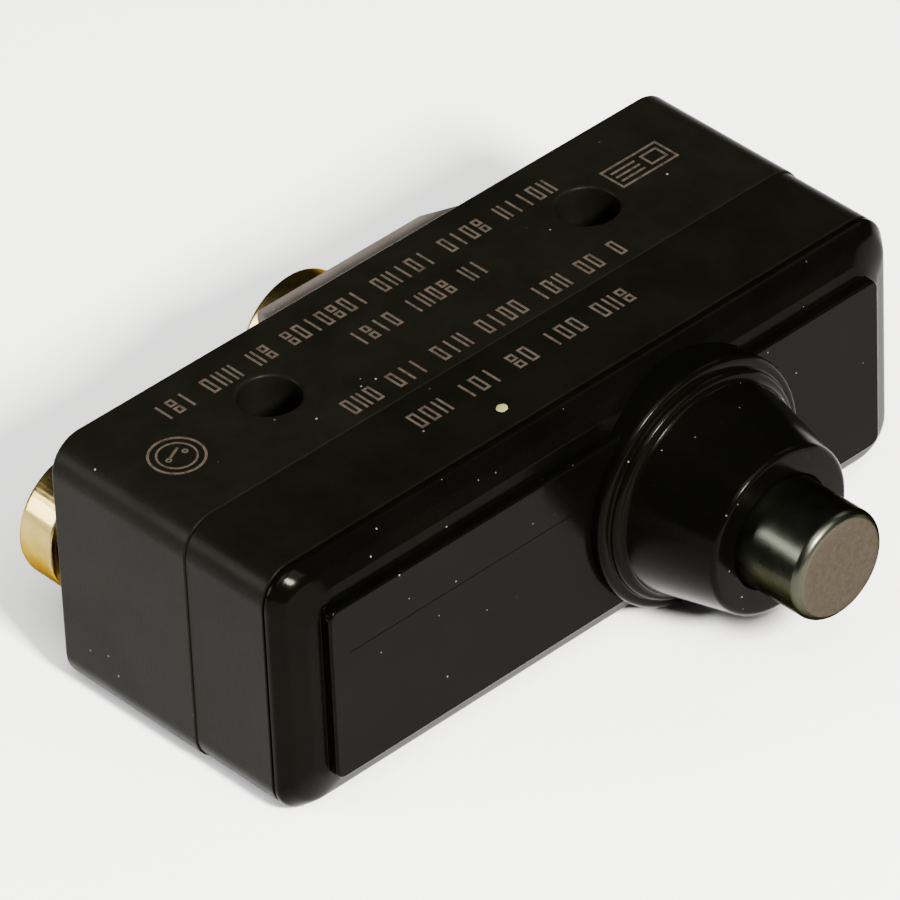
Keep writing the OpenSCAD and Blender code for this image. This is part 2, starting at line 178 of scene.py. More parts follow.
def spread(tree, value, low, high, fromLow=0.3, fromHigh=0.7):
    node = tree.nodes.new("ShaderNodeMapRange")
    node.inputs["From Min"].default_value = fromLow
    node.inputs["From Max"].default_value = fromHigh
    node.inputs["To Min"].default_value = low
    node.inputs["To Max"].default_value = high
    tree.links.new(value, node.inputs["Value"])
    return node.outputs[0]


def mixColour(tree, factor, first, second, way="MIX"):
    node = tree.nodes.new("ShaderNodeMix")
    node.data_type = "RGBA"
    node.blend_type = way
    for value, socket in ((factor, node.inputs[0]), (first, node.inputs[6]), (second, node.inputs[7])):
        if isinstance(value, bpy.types.NodeSocket):
            tree.links.new(value, socket)
        elif isinstance(value, (int, float)):
            socket.default_value = value
        else:
            socket.default_value = (*value, 1)
    return node.outputs[2]


def maths(tree, kind, first, second):
    node = tree.nodes.new("ShaderNodeMath")
    node.operation = kind
    for value, socket in ((first, node.inputs[0]), (second, node.inputs[1])):
        if isinstance(value, bpy.types.NodeSocket):
            tree.links.new(value, socket)
        else:
            socket.default_value = value
    return node.outputs[0]


def bump(tree, shader, height, strength, distance, under=None):
    node = tree.nodes.new("ShaderNodeBump")
    node.inputs["Strength"].default_value = strength
    node.inputs["Distance"].default_value = distance
    tree.links.new(height, node.inputs["Height"])
    if under is not None:
        tree.links.new(under, node.inputs["Normal"])
    tree.links.new(node.outputs[0], shader.inputs["Normal"])
    return node.outputs[0]


# materials: one maker for each kind of finish, one dictionary for each look

black = (0, 0, 0)
white = (1, 1, 1)
resinTint = (1, 0.97, 0.78, 1)  # warm tint of the gloss on moulded resin
waveDepth = 0.2 * mm
grainDepth = 0.04 * mm
markDepth = 0.02 * mm


def phenolic(name, look):
    material, tree, shader = newMaterial(name)
    place = objectCoords(tree)
    cloud = noise(tree, place, look["cloudScale"], 5, 0.6)
    grain = noise(tree, place, look["grainScale"], 3, 0.6)
    body = ramp(tree, cloud, [(0.3, look["dark"]), (0.7, look["light"])])
    size = look["fleckSize"]
    flecks = ramp(tree, cells(tree, place, look["fleckScale"]), [(size, white), (size + 0.01, black)])
    patches = noise(tree, place, look["cloudScale"] * 0.6, 2)
    patchy = ramp(tree, patches, [(0.5, black), (0.62, white)])  # keeps the dust in loose groups
    dust = maths(tree, "MULTIPLY", flecks, patchy)
    colour = mixColour(tree, dust, body, look["dust"])
    tree.links.new(colour, shader.inputs["Base Color"])
    smear = noise(tree, place, look["smearScale"], 4, 0.65, 0.6)
    tree.links.new(spread(tree, smear, look["roughLow"], look["roughHigh"]), shader.inputs["Roughness"])
    shader.inputs["Specular IOR Level"].default_value = look["specular"]
    shader.inputs["Specular Tint"].default_value = resinTint
    wide = bump(tree, shader, noise(tree, place, look["waveScale"], 2), look["waveStrength"], waveDepth)
    bump(tree, shader, grain, look["grainStrength"], grainDepth, wide)
    return material


basePhenolic = dict(
    dark=(0.0015, 0.0015, 0.001), light=(0.0024, 0.0024, 0.0016), dust=(0.08, 0.08, 0.07),
    cloudScale=260, grainScale=5200, fleckScale=620, fleckSize=0.04, smearScale=150, waveScale=120,
    roughLow=0.3, roughHigh=0.42, specular=0.018, waveStrength=0.12, grainStrength=0.3,
)
casePhenolic = dict(
    dark=(0.001, 0.001, 0.0007), light=(0.0016, 0.0016, 0.0011), dust=(0.08, 0.08, 0.07),
    cloudScale=240, grainScale=5200, fleckScale=600, fleckSize=0.04, smearScale=140, waveScale=110,
    roughLow=0.3, roughHigh=0.42, specular=0.018, waveStrength=0.12, grainStrength=0.3,
)
coverPhenolic = dict(
    dark=(0.0004, 0.0004, 0.0003), light=(0.0007, 0.0007, 0.0005), dust=(0.09, 0.09, 0.08),
    cloudScale=200, grainScale=4200, fleckScale=900, fleckSize=0.042, smearScale=120, waveScale=90,
    roughLow=0.14, roughHigh=0.2, specular=0.016, waveStrength=0.1, grainStrength=0.08,
)
pinPhenolic = dict(
    dark=(0.11, 0.035, 0.018), light=(0.19, 0.065, 0.033), dust=(0.2, 0.17, 0.15),
    cloudScale=700, grainScale=5200, fleckScale=900, fleckSize=0.03, smearScale=300, waveScale=300,
    roughLow=0.38, roughHigh=0.55, specular=0.4, waveStrength=0.1, grainStrength=0.3,
)
greyBlock = dict(
    dark=(0.034, 0.029, 0.024), light=(0.05, 0.044, 0.038), dust=(0.26, 0.24, 0.21),
    cloudScale=420, grainScale=3600, fleckScale=900, fleckSize=0.05, smearScale=200, waveScale=200,
    roughLow=0.55, roughHigh=0.72, specular=0.15, waveStrength=0.2, grainStrength=0.5,
)


def turnedMetal(name, look, axisX=0.0):
    material, tree, shader = newMaterial(name)
    place = objectCoords(tree, shift=(-axisX, 0, -midZ))
    wave = tree.nodes.new("ShaderNodeTexWave")
    wave.wave_type = "RINGS"
    wave.rings_direction = "Y"
    wave.inputs["Scale"].default_value = look["ringScale"]
    wave.inputs["Distortion"].default_value = 1.5
    wave.inputs["Detail"].default_value = 3
    tree.links.new(place, wave.inputs["Vector"])
    along = objectCoords(tree, scale=(0.08, 1, 0.08), shift=(-axisX, 0, -midZ))
    streaks = noise(tree, along, look["streakScale"], 4, 0.7)
    cloud = noise(tree, place, look["cloudScale"], 4, 0.6)
    colour = ramp(tree, cloud, [(0.3, look["dark"]), (0.7, look["light"])])
    tree.links.new(colour, shader.inputs["Base Color"])
    shader.inputs["Metallic"].default_value = 1.0
    shader.inputs["Specular Tint"].default_value = look.get("edge", (1, 1, 1)) + (1,)
    tree.links.new(spread(tree, cloud, look["roughLow"], look["roughHigh"]), shader.inputs["Roughness"])
    marks = maths(tree, "ADD", wave.outputs["Fac"], streaks)
    fine = bump(tree, shader, marks, look["markStrength"], markDepth)
    bump(tree, shader, noise(tree, place, look["pitScale"], 3), look["pitStrength"], markDepth, fine)
    return material


plungerSteel = dict(
    dark=(0.022, 0.023, 0.017), light=(0.034, 0.035, 0.026), edge=(0.2, 0.19, 0.15),
    ringScale=2600, streakScale=3000, cloudScale=300,
    roughLow=0.26, roughHigh=0.33, markStrength=0.1, pitScale=6000, pitStrength=0.08,
)
groundSteel = dict(
    dark=(0.04, 0.034, 0.026), light=(0.05, 0.0425, 0.033), edge=(0.22, 0.19, 0.16),
    ringScale=2600, streakScale=3000, cloudScale=2600,
    roughLow=0.5, roughHigh=0.6, markStrength=0.15, pitScale=4200, pitStrength=0.35,
)
plainSteel = dict(
    dark=(0.42, 0.41, 0.39), light=(0.56, 0.55, 0.52), ringScale=2400, streakScale=2600, cloudScale=800,
    roughLow=0.24, roughHigh=0.38, markStrength=0.2, pitScale=5200, pitStrength=0.15,
)
zincSteel = dict(
    dark=(0.48, 0.49, 0.48), light=(0.64, 0.64, 0.6), ringScale=1800, streakScale=2000, cloudScale=700,
    roughLow=0.28, roughHigh=0.45, markStrength=0.15, pitScale=4200, pitStrength=0.2,
)
silver = dict(
    dark=(0.72, 0.71, 0.68), light=(0.86, 0.85, 0.82), ringScale=2400, streakScale=2600, cloudScale=900,
    roughLow=0.2, roughHigh=0.36, markStrength=0.15, pitScale=5000, pitStrength=0.2,
)
screwBrass = dict(
    edge=(0.3, 0.24, 0.09),
    dark=(0.18, 0.132, 0.036), light=(0.27, 0.2, 0.066), ringScale=1500, streakScale=1700, cloudScale=420,
    roughLow=0.16, roughHigh=0.32, markStrength=0.14, pitScale=3600, pitStrength=0.25,
)
stripBrass = dict(
    dark=(0.5, 0.34, 0.14), light=(0.7, 0.5, 0.23), ringScale=900, streakScale=1500, cloudScale=360,
    roughLow=0.26, roughHigh=0.42, markStrength=0.1, pitScale=3200, pitStrength=0.3,
)
bladeCopper = dict(
    dark=(0.6, 0.36, 0.2), light=(0.78, 0.5, 0.3), ringScale=700, streakScale=1600, cloudScale=360,
    roughLow=0.24, roughHigh=0.38, markStrength=0.1, pitScale=3200, pitStrength=0.2,
)


def printInk(name, look):
    material, tree, shader = newMaterial(name)
    place = objectCoords(tree)
    worn = noise(tree, place, look["wearScale"], 5, 0.7)
    colour = ramp(tree, worn, [(0.32, look["worn"]), (0.55, look["full"])])
    tree.links.new(colour, shader.inputs["Base Color"])
    tree.links.new(spread(tree, worn, 0.5, 0.75), shader.inputs["Roughness"])
    shader.inputs["Specular IOR Level"].default_value = 0.3
    bump(tree, shader, noise(tree, place, look["grainScale"], 3), 0.3, markDepth)
    return material


tanInk = dict(full=(0.021, 0.0148, 0.009), worn=(0.0085, 0.006, 0.004), wearScale=2200, grainScale=6000)
dotPaint = dict(full=(0.14, 0.14, 0.05), worn=(0.09, 0.09, 0.03), wearScale=1800, grainScale=4000)

materials = {
    "base": phenolic("basePhenolic", basePhenolic),
    "case": phenolic("casePhenolic", casePhenolic),
    "cover": phenolic("coverPhenolic", coverPhenolic),
    "pin": phenolic("pinPhenolic", pinPhenolic),
    "block": phenolic("greyBlock", greyBlock),
    "plunger": turnedMetal("plungerSteel", plungerSteel, bossX),
    "ground": turnedMetal("groundSteel", groundSteel, bossX),
    "steel": turnedMetal("plainSteel", plainSteel, bossX),
    "zinc": turnedMetal("zincSteel", zincSteel),
    "silver": turnedMetal("contactSilver", silver),
    "screw": turnedMetal("screwBrass", screwBrass),
    "strip": turnedMetal("stripBrass", stripBrass),
    "blade": turnedMetal("bladeCopper", bladeCopper),
    "ink": printInk("tanInk", tanInk),
    "dot": printInk("dotPaint", dotPaint),
}
print("materials made:", len(materials))


# helpers that build and finish meshes

quarterSteps = (0, 22.5, 45, 67.5, 90)
upright = Matrix(((1, 0, 0, 0), (0, 0, -1, 0), (0, 1, 0, 0), (0, 0, 0, 1)))  # from along Y to along Z


def arcPoints(centreA, centreB, radius, start, stop, steps):
    points = []
    for i in range(steps + 1):
        angle = math.radians(start + (stop - start) * i / steps)
        points.append((centreA + radius * math.cos(angle), centreB + radius * math.sin(angle)))
    return points


def roundOutline(x0, x1, z0, z1, radius, steps=8):
    points = []
    corners = ((x1 - radius, z1 - radius, 0), (x0 + radius, z1 - radius, 90),
               (x0 + radius, z0 + radius, 180), (x1 - radius, z0 + radius, 270))
    for x, z, start in corners:
        points += arcPoints(x, z, radius, start, start + 90, steps)
    return points


def ringAlongY(bm, outline, y):
    return [bm.verts.new((x, y, z)) for x, z in outline]


def bridge(bm, first, second):
    count = len(first)
    for i in range(count):
        j = (i + 1) % count
        bm.faces.new((first[i], first[j], second[j], second[i]))


def loftRings(bm, sections):
    rings = [ringAlongY(bm, outline, y) for outline, y in sections]
    for first, second in zip(rings, rings[1:]):
        bridge(bm, first, second)
    bm.faces.new(rings[0])
    bm.faces.new(rings[-1])
    bmesh.ops.recalc_face_normals(bm, faces=bm.faces)


def lathe(bm, profile, x, z, steps=96):
    rings = []
    for radius, y in profile:
        if radius < 1e-7:
            rings.append([bm.verts.new((x, y, z))])
            continue
        ring = []
        for i in range(steps):
            angle = 2 * math.pi * i / steps
            ring.append(bm.verts.new((x + radius * math.cos(angle), y, z + radius * math.sin(angle))))
        rings.append(ring)
    closed = len(rings[0]) > 1
    pairs = list(zip(rings, rings[1:]))
    if closed:
        pairs.append((rings[-1], rings[0]))
    for first, second in pairs:
        if len(first) == 1 and len(second) == 1:
            continue
        if len(first) == 1 or len(second) == 1:
            pole, ring = (first, second) if len(first) == 1 else (second, first)
            for i in range(steps):
                bm.faces.new((pole[0], ring[i], ring[(i + 1) % steps]))
        else:
            bridge(bm, first, second)
    bmesh.ops.recalc_face_normals(bm, faces=bm.faces)


def rod(bm, radius, y0, y1, x, z, steps=40):
    lathe(bm, [(0, y0), (radius, y0), (radius, y1), (0, y1)], x, z, steps)


def edgeArc(radius, y, edge):  # rounded outer edge of a turned face at y
    points = []
    for t in range(0, 91, 15):
        turn = math.radians(t)
        points.append((radius - edge + edge * math.cos(turn), y + edge - edge * math.sin(turn)))
    return points


def boxInto(bm, low, high):
    made = bmesh.ops.create_cube(bm, size=1)["verts"]
    low, high = Vector(low), Vector(high)
    for vert in made:
        vert.co = Vector((low[k] + (vert.co[k] + 0.5) * (high[k] - low[k]) for k in range(3)))


def meshObject(name, bm):
    mesh = bpy.data.meshes.new(name)
    bm.to_mesh(mesh)
    bm.free()
    piece = bpy.data.objects.new(name, mesh)
    scene.collection.objects.link(piece)
    return piece


def settle(piece):
    bpy.context.view_layer.update()
    graph = bpy.context.evaluated_depsgraph_get()
    mesh = bpy.data.meshes.new_from_object(piece.evaluated_get(graph))
    piece.modifiers.clear()
    old = piece.data
    piece.data = mesh
    bpy.data.meshes.remove(old)


def cut(piece, cutter, way="DIFFERENCE"):
    change = piece.modifiers.new("cut", "BOOLEAN")
    change.operation = way
    change.solver = "EXACT"
    change.object = cutter
    settle(piece)
    mesh = cutter.data
    bpy.data.objects.remove(cutter)
    bpy.data.meshes.remove(mesh)


def softenEdges(piece, width, angle=40, segments=2):
    change = piece.modifiers.new("soften", "BEVEL")
    change.width = width
    change.segments = segments
    change.limit_method = "ANGLE"
    change.angle_limit = math.radians(angle)
    change.use_clamp_overlap = True
    settle(piece)


def shade(piece, angle=32):
    bm = bmesh.new()
    bm.from_mesh(piece.data)
    bmesh.ops.remove_doubles(bm, verts=bm.verts, dist=2e-7)
    limit = math.radians(angle)
    for face in bm.faces:
        face.smooth = True
    for edge in bm.edges:
        edge.smooth = len(edge.link_faces) == 2 and edge.calc_face_angle(0) < limit
    bm.to_mesh(piece.data)
    bm.free()
    weights = piece.modifiers.new("weights", "WEIGHTED_NORMAL")
    weights.keep_sharp = True
    weights.weight = 80


def place(piece, body, material, slotName=None, replaced=()):
    piece.data.materials.clear()
    piece.data.materials.append(materials[material])
    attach(piece, body)
    if replaced:
        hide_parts(*replaced)
    return piece


# the three mouldings: terminal base, contact case and front cover

housing = dict(
    cornerRadius=2.2 * mm, edgeRound=0.22 * mm, seamRound=0.09 * mm,
    holeDiameter=3.8 * mm, holePitch=25.4 * mm, holeFlare=0.22 * mm,
    wall=1.7 * mm, guideWall=1.2 * mm, recess=2.05 * mm, guideRadius=1.25 * mm,
    screwInset=3.0 * mm, screwBoss=2.1 * mm, screwHead=1.5 * mm, screwSink=1.2 * mm, screwRoom=0.1 * mm,
    pad=7.2 * mm, padSink=0.9 * mm, padRoom=0.08 * mm,
    terminalX=20.5 * mm, legX=17.4 * mm, openLegX=-5.5 * mm, legHalf=0.58 * mm, legWide=2.58 * mm,
    threadHole=2.1 * mm, endHoleY=-1.15 * mm, centreHoleY=2.05 * mm, shank=0.95 * mm,
)
tiny = 0.01 * mm  # how far a pocket runs past the face it opens in
overrun = 0.5 * mm  # how far a drilled hole runs past it


def insetOutline(inset, extra, radius):
    return roundOutline(
        -halfLength + inset + extra, halfLength - inset - extra,
        inset + extra, topZ - inset - extra, radius, 10,
    )


def caseOutline(inset, extra):
    return insetOutline(inset, extra, max(housing["cornerRadius"] - extra, 0.2 * mm))


def roundedBlock(name, y0, y1, inset, round0, round1):
    sections = []
    for t in quarterSteps:
        turn = math.radians(t)
        outline = caseOutline(inset, round0 * (1 - math.sin(turn)))
        sections.append((outline, y0 + round0 * (1 - math.cos(turn))))
    for t in quarterSteps:
        turn = math.radians(t)
        outline = caseOutline(inset, round1 * (1 - math.cos(turn)))
        sections.append((outline, y1 - round1 * (1 - math.sin(turn))))
    bm = bmesh.new()
    loftRings(bm, sections)
    return meshObject(name, bm)


def holeCutter(look):
    bm = bmesh.new()
    radius = look["holeDiameter"] / 2
    flare = look["holeFlare"]
    reach = 1 * mm
    for side in (-1, 1):
        x = side * look["holePitch"] / 2
        profile = [(0, -reach), (radius + flare, -reach), (radius + flare, 0)]
        for t in quarterSteps[1:]:
            turn = math.radians(t)
            profile.append((radius + flare - flare * math.sin(turn), flare - flare * math.cos(turn)))
        for t in quarterSteps[:-1]:
            turn = math.radians(t)
            profile.append((radius + flare - flare * math.cos(turn), topZ - flare + flare * math.sin(turn)))
        profile += [(radius + flare, topZ), (radius + flare, topZ + reach), (0, topZ + reach)]
        part = bmesh.new()
        lathe(part, profile, 0, 0, 64)
        part.transform(Matrix.Translation((x, 0, 0)) @ upright)
        mesh = bpy.data.meshes.new("part")
        part.to_mesh(mesh)
        part.free()
        bm.from_mesh(mesh)
        bpy.data.meshes.remove(mesh)
    return meshObject("holeCutter", bm)


def caseScrewHoles(radius, y0, y1):
    bm = bmesh.new()
    for sideX in (-1, 1):
        for sideZ in (-1, 1):
            x = sideX * (halfLength - housing["screwInset"])
            z = midZ + sideZ * (midZ - housing["screwInset"])
            rod(bm, radius, y0, y1, x, z)
    return meshObject("screwHoles", bm)


def terminalCutter(look):
    bm = bmesh.new()
    reach = 0.5 * mm
    for x in (-look["legX"], look["openLegX"], look["legX"]):
        boxInto(bm, (x - look["legHalf"], splitY + look["recess"] - reach, midZ - look["legWide"]),
                (x + look["legHalf"], rearY - look["padSink"] + reach * 0.1, midZ + look["legWide"]))
    return meshObject("legCutter", bm)


def threadCutter(look):
    bm = bmesh.new()
    seats = (
        (-look["terminalX"], look["endHoleY"]),
        (0, look["centreHoleY"]),
        (look["terminalX"], look["endHoleY"]),
    )
    for x, y in seats:
        rod(bm, look["threadHole"], y, rearY + 0.2 * mm, x, midZ)
    return meshObject("threadCutter", bm)


def makeBase():
    look = housing
    piece = roundedBlock("terminalBase", splitY, rearY, 0, look["seamRound"], look["edgeRound"])
    cut(piece, holeCutter(look))
    bm = bmesh.new()
    endX = halfLength - (look["screwInset"] + look["screwBoss"])
    wall = look["wall"]
    boxInto(bm, (-endX, splitY - tiny, wall), (endX, splitY + look["recess"], topZ - wall))
    half = look["pad"] / 2 + look["padRoom"]
    for side in (-1, 1):
        x = side * look["terminalX"]
        boxInto(bm, (x - half, rearY - look["padSink"], midZ - half), (x + half, rearY + tiny, midZ + half))
    cut(piece, meshObject("boxCutter", bm))
    cut(piece, terminalCutter(look))
    cut(piece, threadCutter(look))
    sinkY = rearY - look["screwSink"]
    cut(piece, caseScrewHoles(look["shank"] + look["screwRoom"], splitY - overrun, sinkY + look["screwRoom"]))
    cut(piece, caseScrewHoles(look["screwHead"] + look["screwRoom"], sinkY, rearY + overrun))
    shade(piece)
    return place(piece, "housing", "base", "base_phenolic", ["terminal_base"])


def makeCase():
    look = housing
    inset = baseHigh.x - caseHigh.x
    piece = roundedBlock("contactCase", frontY, splitY, inset, look["seamRound"], look["seamRound"])
    bm = bmesh.new()
    endX = halfLength - (look["screwInset"] + look["screwBoss"])
    wall = look["wall"]
    boxInto(bm, (-endX, frontY + look["guideWall"], wall), (endX, splitY + tiny, topZ - wall))
    cut(piece, meshObject("chamberCutter", bm))
    bm = bmesh.new()
    rod(bm, look["guideRadius"], frontY - 1 * mm, frontY + 3 * mm, bossX, midZ)
    cut(piece, meshObject("guideCutter", bm))
    cut(piece, caseScrewHoles(look["shank"] + look["screwRoom"], frontY - overrun, splitY + overrun))
    shade(piece)
    return place(piece, "housing", "case", "case_phenolic", ["contact_case"])


coverLook = dict(
    inset=0.08 * mm, gap=0.12 * mm, gapDepth=0.35 * mm, lip=0.5 * mm,
    bevelDepth=1.45 * mm, bevelIn=1.7 * mm,
    ledge=0.9 * mm, panelHeight=0.8 * mm, panelRadius=0.6 * mm, panelRound=0.16 * mm,
    flangeRadius=8.1 * mm, flangeHeight=0.8 * mm, ringRadius=7.4 * mm, ringHeight=0.5 * mm,
    coneRadius=6.8 * mm, endRadius=5.5 * mm, rimRound=0.4 * mm, ringRound=0.38 * mm, wall=1.5 * mm,
    cavityRadius=4.8 * mm, boreRadius=3.6 * mm, boreMouth=0.15 * mm, coneFoot=0.25 * mm,
    ledgeDrop=0.2 * mm, screwEnd=0.5 * mm,
    bevelPath=(  # shares of the way inward and of the way forward
        (0, -0.12), (0.012, -0.024), (0.04, 0.06), (0.09, 0.155), (0.2, 0.36),
        (0.3, 0.53), (0.38, 0.62), (0.5, 0.7), (0.7, 0.82), (1, 1),
    ),
    scribe=(-20.5 * mm, -2.2 * mm, 11.3 * mm), scribeWidth=0.05 * mm, scribeDepth=0.04 * mm,
)


def coverSections(look):
    lipY = frontY - look["lip"]
    ledgeY = lipY - look["bevelDepth"]
    panelY = ledgeY - look["panelHeight"]

    def outline(extra, radius):
        return insetOutline(look["inset"], extra, radius)

    corner = housing["cornerRadius"]
    panelIn = look["bevelIn"] + look["ledge"]
    sections = [
        (outline(look["gapDepth"], corner - look["gapDepth"]), frontY),
        (outline(look["gapDepth"], corner - look["gapDepth"]), frontY - look["gap"]),
        (outline(0.06 * mm, corner), frontY - look["gap"] - 0.02 * mm),
        (outline(0, corner), frontY - look["gap"] - 0.08 * mm),
    ]
    slopeY = ledgeY + look["ledgeDrop"]  # the ledge leans back toward its outer side
    for inward, forward in look["bevelPath"]:
        sections.append((outline(look["bevelIn"] * inward, corner), lipY - (lipY - slopeY) * forward))
    sections.append((outline(look["bevelIn"] + 0.08 * mm, corner - 0.04 * mm), slopeY - 0.04 * mm))
    sections.append((outline(panelIn - 0.02 * mm, look["panelRadius"] + 0.02 * mm), ledgeY))
    sections.append((outline(panelIn, look["panelRadius"]), ledgeY - 0.03 * mm))
    round0 = look["panelRound"]
    for t in quarterSteps:
        turn = math.radians(t)
        extra = panelIn + round0 * (1 - math.cos(turn))
        sections.append((outline(extra, look["panelRadius"]), panelY + round0 * (1 - math.sin(turn))))
    return sections, panelY


def bossProfile(look, panelY):
    flangeY = panelY - look["flangeHeight"]
    ringY = flangeY - look["ringHeight"]
    points = [(0, frontY - 0.3 * mm), (look["flangeRadius"], frontY - 0.3 * mm)]
    for radius, y in ((look["flangeRadius"], flangeY), (look["ringRadius"], ringY)):
        points += edgeArc(radius, y, look["ringRound"])
        if radius == look["flangeRadius"]:
            points += [(look["ringRadius"] + 0.1 * mm, y), (look["ringRadius"], y - 0.08 * mm)]
    cone = look["coneRadius"]
    foot = look["coneFoot"]  # small fillet where the cone starts
    points += [(cone + foot, ringY), (cone + foot * 0.3, ringY - foot * 0.3), (cone - 0.05 * mm, ringY - foot)]
    points += edgeArc(look["endRadius"], bossY, look["rimRound"])
    points += [(0, bossY)]
    return points


def makeCover():
    look = coverLook
    bm = bmesh.new()
    sections, panelY = coverSections(look)
    loftRings(bm, sections)
    piece = meshObject("frontCover", bm)
    bm = bmesh.new()
    lathe(bm, bossProfile(look, panelY), bossX, midZ, 128)
    cut(piece, meshObject("boss", bm), "UNION")
    bm = bmesh.new()
    bore = look["boreRadius"]
    mouth = look["boreMouth"]
    profile = [
        (0, bossY - overrun), (bore + mouth, bossY - overrun),
        (bore + mouth, bossY), (bore, bossY + mouth),
        (bore, bossY + look["wall"]), (look["cavityRadius"], bossY + look["wall"]),
        (look["cavityRadius"], frontY + overrun), (0, frontY + overrun),
    ]
    lathe(bm, profile, bossX, midZ, 96)
    cut(piece, meshObject("bore", bm))
    bm = bmesh.new()
    x0, x1, z = look["scribe"]
    boxInto(bm, (x0, panelY - 1 * mm, z), (x1, panelY + look["scribeDepth"], z + look["scribeWidth"]))
    cut(piece, meshObject("scribe", bm))
    blindY = frontY - look["lip"] - look["bevelDepth"] + look["screwEnd"] - 0.05 * mm
    cut(piece, caseScrewHoles(housing["shank"] + 0.02 * mm, blindY, frontY + overrun))
    shade(piece)
    return place(piece, "housing", "cover", "cover_phenolic", ["front_cover"])


makeBase()
makeCase()
makeCover()
print("housings made")


# steel plunger, turned around the axis of the boss

plungerLook = dict(
    edge=0.6 * mm, wall=0.9 * mm, end=1.9 * mm, dish=0.012 * mm, dishEdge=0.006 * mm,
    groove=0.4 * mm, ringGap=0.1 * mm, ringThickness=0.6 * mm,
)


def makePlunger(look):
    radius = (plungerHigh.x - plungerLow.x) / 2
    edge = look["edge"]
    backY = plungerHigh.y
    ringY = bossY + coverLook["wall"] + look["ringGap"]
    ringEnd = ringY + look["ringThickness"]
    neck = radius - look["groove"]
    hollow = radius - look["wall"]
    hollowY = tipY + look["end"]
    profile = [(0, tipY + look["dish"]), (radius - edge - 0.5 * mm, tipY + look["dishEdge"])]
    for t in range(0, 91, 9):
        turn = math.radians(t)
        profile.append((radius - edge + edge * math.sin(turn), tipY + edge - edge * math.cos(turn)))
    profile += [(radius, ringY), (neck, ringY), (neck, ringEnd), (radius, ringEnd)]
    profile += [(radius, backY - 0.15 * mm), (radius - 0.15 * mm, backY), (hollow + 0.1 * mm, backY)]
    profile += [(hollow, backY - 0.1 * mm), (hollow, hollowY), (0, hollowY + 0.4 * mm)]
    bm = bmesh.new()
    lathe(bm, profile, bossX, midZ, 128)
    piece = meshObject("steelPlunger", bm)
    shade(piece)
    place(piece, "plunger", "plunger", "plunger_steel", ["steel_plunger"])
    piece.data.materials.append(materials["ground"])
    for face in piece.data.polygons:
        face.material_index = int(face.normal.y < -0.97 and face.center.y < tipY + 0.1 * mm)
    return piece


makePlunger(plungerLook)
print("plunger made")


# springs with closed ends

springLook = dict(sides=12, stepsPerTurn=36, deadTurns=0.8)
returnSpring = dict(radius=4.05 * mm, wire=0.36 * mm, turns=4.6, travel=4.5 * mm)
innerSpring = dict(radius=2.15 * mm, wire=0.5 * mm, turns=7.6, travel=4.3 * mm)


def makeSpring(name, node, look, body):
    low, high = (Vector(v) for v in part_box(node))
    wire = look["wire"]
    y0, y1 = low.y + wire / 2, high.y - wire / 2
    sides = springLook["sides"]
    dead = springLook["deadTurns"]
    tight = wire * 1.04  # pitch of the closed end coils
    openPitch = (y1 - y0 - 2 * dead * tight) / (look["turns"] - 2 * dead)
    count = int(look["turns"] * springLook["stepsPerTurn"])
    bm = bmesh.new()
    rings = []
    for i in range(count + 1):
        turn = look["turns"] * i / count
        middle = min(max(turn - dead, 0), look["turns"] - 2 * dead)
        y = y0 + (turn - middle) * tight + middle * openPitch
        cos, sin = math.cos(2 * math.pi * turn), math.sin(2 * math.pi * turn)
        ring = []
        for k in range(sides):
            around = 2 * math.pi * k / sides
            radius = look["radius"] + wire / 2 * math.cos(around)
            height = y + wire / 2 * math.sin(around)
            ring.append(bm.verts.new((bossX + radius * cos, height, midZ + radius * sin)))
        rings.append(ring)
    for first, second in zip(rings, rings[1:]):
        bridge(bm, first, second)
    bm.faces.new(rings[0])
    bm.faces.new(rings[-1])
    bmesh.ops.recalc_face_normals(bm, faces=bm.faces)
    piece = meshObject(name, bm)
    shade(piece, 50)
    place(piece, body, "steel", "spring_steel", [node])
    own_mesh(piece)
    return piece


makeSpring("returnSpring", "return_spring", returnSpring, "housing")
makeSpring("overtravelSpring", "overtravel_spring", innerSpring, "pin")
print("springs made")


# terminal screws with a cut slot and a real thread

screwLook = dict(
    thread=4.0 * mm, root=3.3 * mm, pitch=0.7 * mm, shank=7.0 * mm,
    head=8.3 * mm, rim=2.8 * mm, height=3.4 * mm,
    slotWidth=1.15 * mm, slotDepth=1.1 * mm, rimRound=0.3 * mm,
)


def threadedShank(bm, look, x, headY):
    steps = 40
    perTurn = 6
    count = int(look["shank"] / look["pitch"] * perTurn)
    rings = []
    for j in range(count + 1):
        y = headY + 0.1 * mm - (look["shank"] + 0.1 * mm) * j / count
        taper = min(1, (count - j) / perTurn)
        blank = min(1, max(0, (j - 3) / 3))
        ring = []
        for i in range(steps):
            turn = i / steps
            phase = ((headY - y) / look["pitch"] + turn) % 1
            crest = abs(phase * 2 - 1)
            radius = look["thread"] / 2 - (look["thread"] - look["root"]) / 2 * crest * blank
            radius -= 0.25 * mm * (1 - taper)
            angle = 2 * math.pi * turn
            ring.append(bm.verts.new((x + radius * math.cos(angle), y, midZ + radius * math.sin(angle))))
        rings.append(ring)
    for first, second in zip(rings, rings[1:]):
        bridge(bm, first, second)
    bm.faces.new(rings[0])
    bm.faces.new(rings[-1])
    bmesh.ops.recalc_face_normals(bm, faces=bm.faces)


